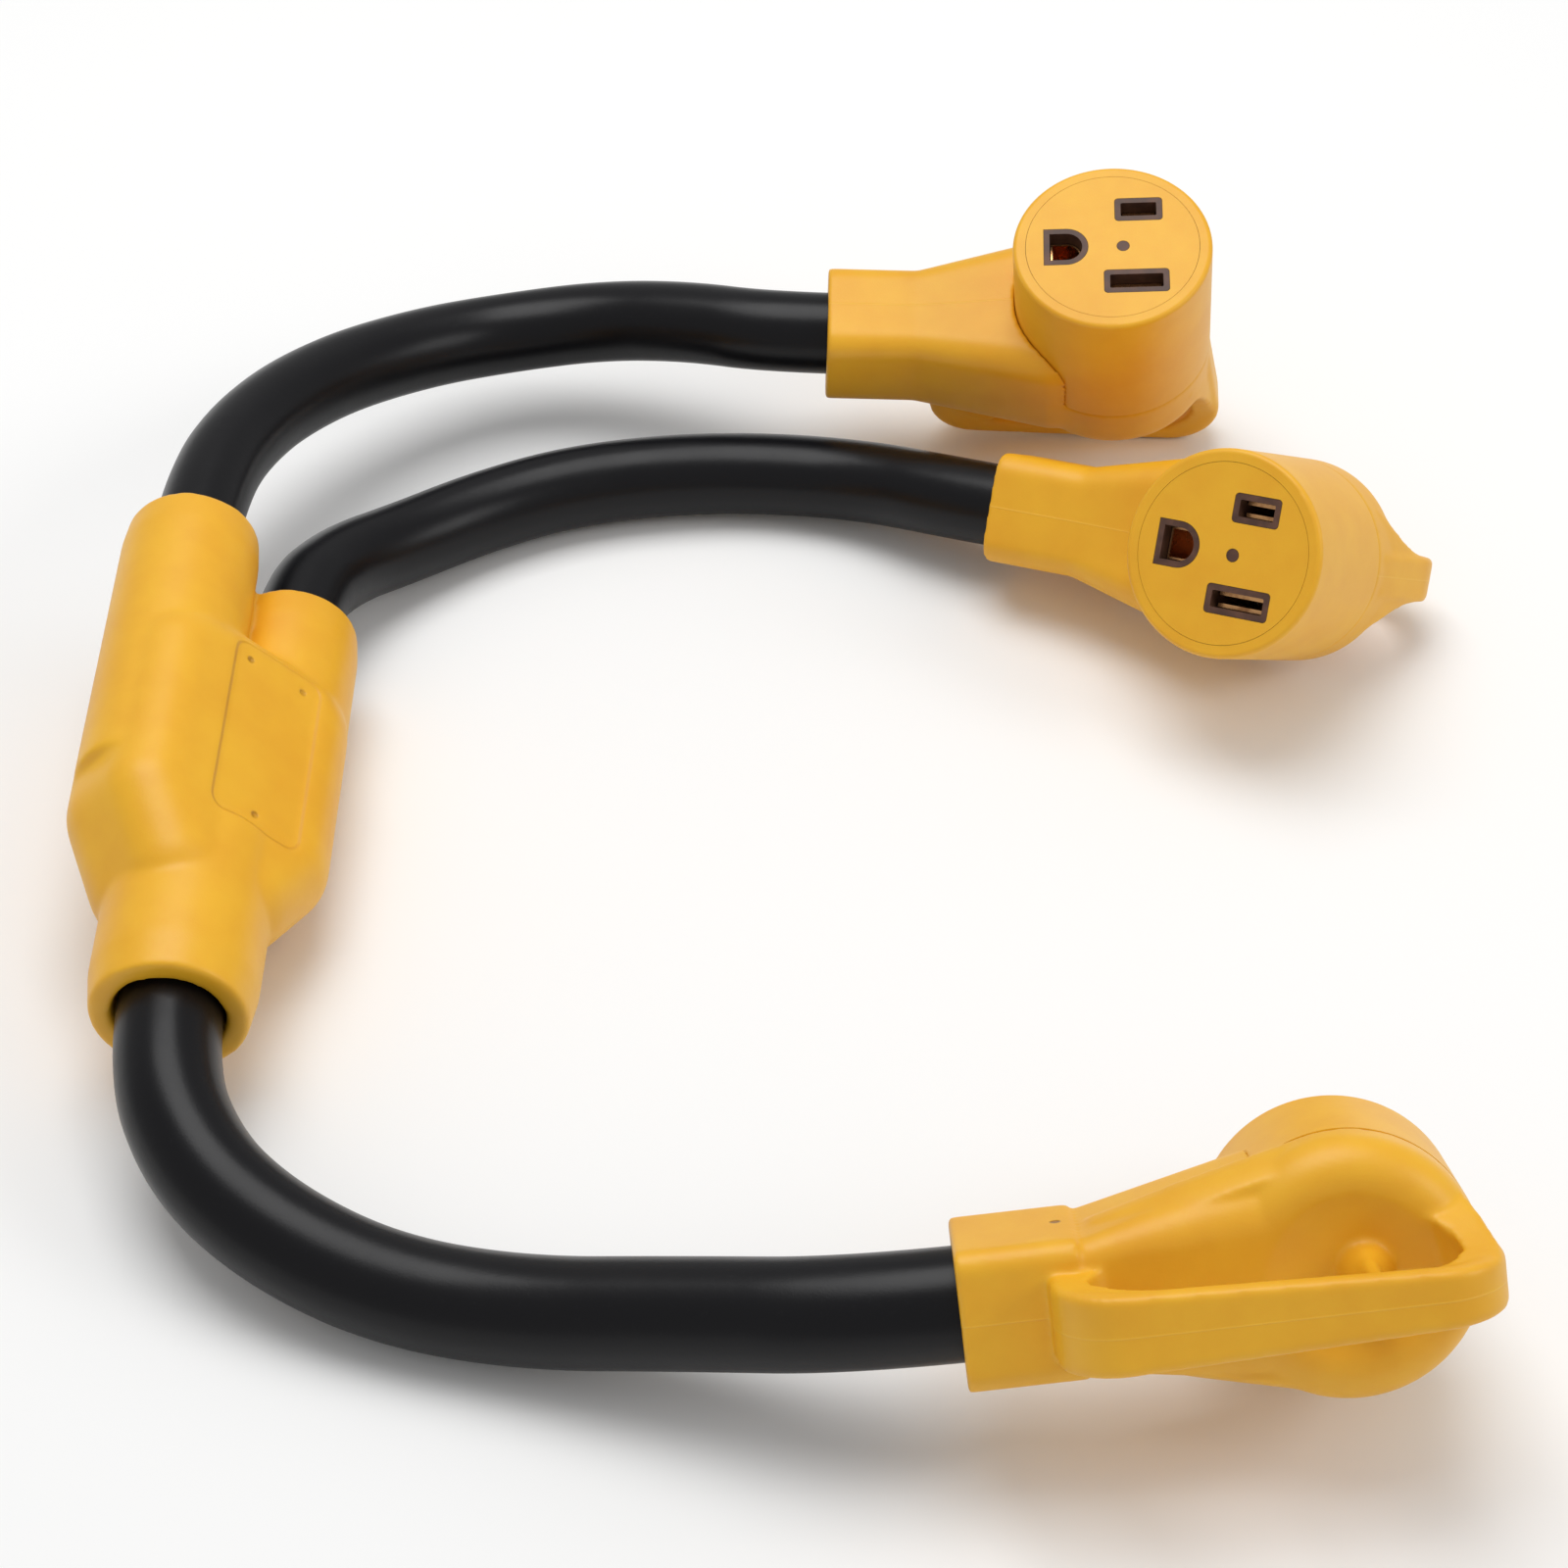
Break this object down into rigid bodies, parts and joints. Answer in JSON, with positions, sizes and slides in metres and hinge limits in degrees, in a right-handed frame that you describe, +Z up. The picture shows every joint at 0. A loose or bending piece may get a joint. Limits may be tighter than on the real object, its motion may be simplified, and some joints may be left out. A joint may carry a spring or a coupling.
{
  "type": "shore power cord",
  "caption": "Yellow and black caravan power adapter cord: a four-prong plug with a carrying handle, a moulded Y junction and two sockets with handles.",
  "frame": {"origin": "on the floor, under the middle of the mouldings' box", "axes": "+X from the junction towards the socket and plug heads, +Y from the plug side towards the sockets, +Z up"},
  "size_m": [0.3173, 0.3699, 0.0809],
  "materials": {
    "moulding_yellow": "satin, fine moulded texture",
    "jacket_black": "satin",
    "insulator_brown": "semi gloss",
    "contact_brass": "satin",
    "prong_brass": "satin",
    "splice_tinned": "satin",
    "splice_block_grey": "matt",
    "wire_black": "satin",
    "wire_red": "satin",
    "wire_white": "satin",
    "wire_green": "satin"
  },
  "bodies": {
    "root": {"branch_a_ground_lead": "wire_green", "branch_a_hot_lead": "wire_black", "branch_a_neutral_lead": "wire_white", "branch_b_ground_lead": "wire_green", "branch_b_hot_lead": "wire_red", "branch_b_neutral_lead": "wire_white", "branch_cord_a": "jacket_black", "branch_cord_b": "jacket_black", "junction_ground_ferrule": "splice_tinned", "junction_hot_a_ferrule": "splice_tinned", "junction_hot_b_ferrule": "splice_tinned", "junction_neutral_ferrule": "splice_tinned", "junction_overmould": "moulding_yellow", "junction_splice_block": "splice_block_grey", "main_cord": "jacket_black", "main_ground_lead": "wire_green", "main_hot_lead_a": "wire_black", "main_hot_lead_b": "wire_red", "main_neutral_lead": "wire_white", "plug_front": "moulding_yellow", "plug_ground_prong": "prong_brass", "plug_ground_wire": "wire_green", "plug_hot_blade_a": "prong_brass", "plug_hot_blade_b": "prong_brass", "plug_hot_wire_a": "wire_black", "plug_hot_wire_b": "wire_red", "plug_neutral_blade": "prong_brass", "plug_neutral_wire": "wire_white", "plug_overmould": "moulding_yellow", "socket_a_contact_carrier": "insulator_brown", "socket_a_drum": "moulding_yellow", "socket_a_face_disc": "moulding_yellow", "socket_a_ground_contact": "contact_brass", "socket_a_ground_wire": "wire_green", "socket_a_hot_contact": "contact_brass", "socket_a_hot_wire": "wire_black", "socket_a_locating_pin": "insulator_brown", "socket_a_neutral_contact": "contact_brass", "socket_a_neutral_wire": "wire_white", "socket_a_overmould": "moulding_yellow", "socket_b_contact_carrier": "insulator_brown", "socket_b_drum": "moulding_yellow", "socket_b_face_disc": "moulding_yellow", "socket_b_ground_contact": "contact_brass", "socket_b_ground_wire": "wire_green", "socket_b_hot_contact": "contact_brass", "socket_b_hot_wire": "wire_red", "socket_b_locating_pin": "insulator_brown", "socket_b_neutral_contact": "contact_brass", "socket_b_neutral_wire": "wire_white", "socket_b_overmould": "moulding_yellow"}
  },
  "joints": []
}
